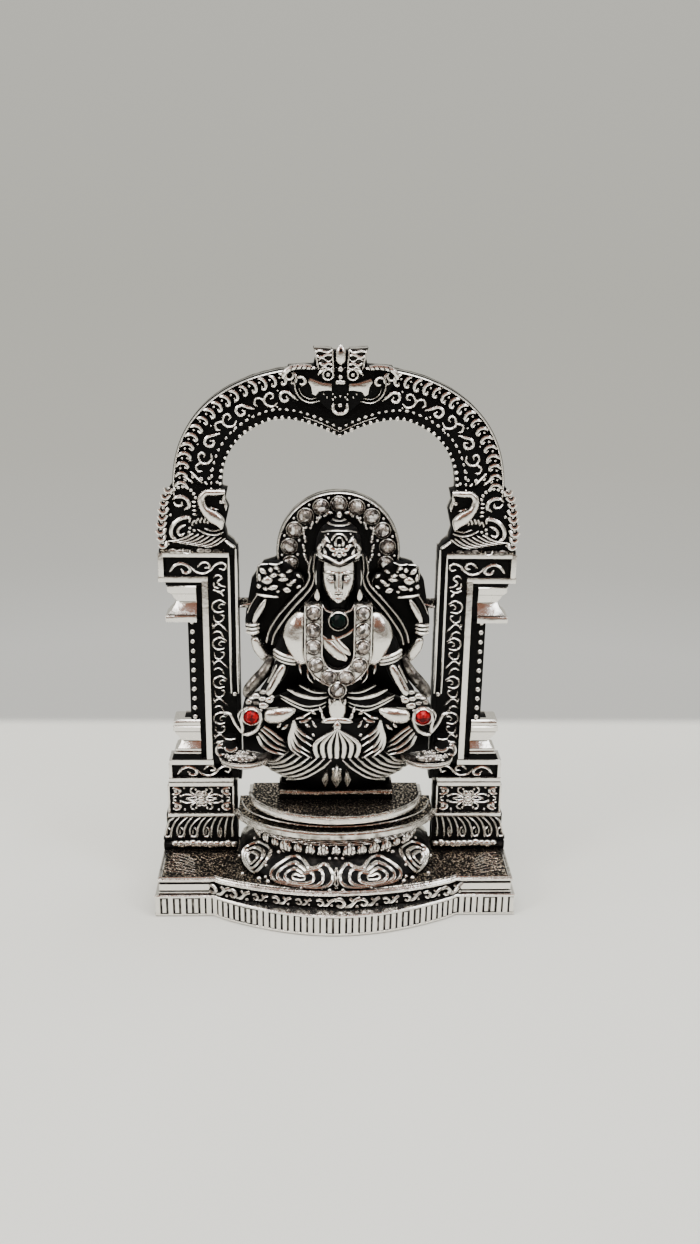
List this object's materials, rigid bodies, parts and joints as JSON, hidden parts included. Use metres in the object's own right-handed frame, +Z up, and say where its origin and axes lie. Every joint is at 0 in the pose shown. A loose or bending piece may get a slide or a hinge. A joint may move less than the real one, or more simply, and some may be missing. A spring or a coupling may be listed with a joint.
{
  "type": "lakshmi figure",
  "caption": "Small cast statuette: a seated four-armed goddess on a lotus drum inside a pillared arch, on a stepped bow-fronted plinth, set with glass stones.",
  "frame": {"origin": "centre of the bounding box on the plane that the plinth rests on", "axes": "+Z up through the crown of the arch, the goddess faces -Y, +X to the viewer's right"},
  "size_m": [0.0488, 0.0164, 0.0749],
  "materials": {
    "antique_silver": "cast white metal with an antique silver plate: polished high spots, blackened recesses",
    "clear_glass": "clear facetted glass with a foiled flat back",
    "red_glass": "red facetted glass with a foiled flat back",
    "dark_glass": "very dark green facetted glass with a foiled flat back"
  },
  "bodies": {
    "root": {"plinth": "antique_silver", "lotus_drum": "antique_silver", "arch_frame": "antique_silver", "goddess": "antique_silver", "halo_stone_1": "clear_glass", "halo_stone_2": "clear_glass", "halo_stone_3": "clear_glass", "halo_stone_4": "clear_glass", "halo_stone_5": "clear_glass", "halo_stone_6": "clear_glass", "halo_stone_7": "clear_glass", "halo_stone_8": "clear_glass", "halo_stone_9": "clear_glass", "halo_stone_10": "clear_glass", "halo_stone_11": "clear_glass", "necklace_stone_1": "clear_glass", "necklace_stone_2": "clear_glass", "necklace_stone_3": "clear_glass", "necklace_stone_4": "clear_glass", "necklace_stone_5": "clear_glass", "necklace_stone_6": "clear_glass", "necklace_stone_7": "clear_glass", "necklace_stone_8": "clear_glass", "necklace_stone_9": "clear_glass", "necklace_stone_10": "clear_glass", "pendant_stone": "clear_glass", "throat_stone": "dark_glass", "palm_stone_left": "red_glass", "palm_stone_right": "red_glass"}
  },
  "joints": []
}
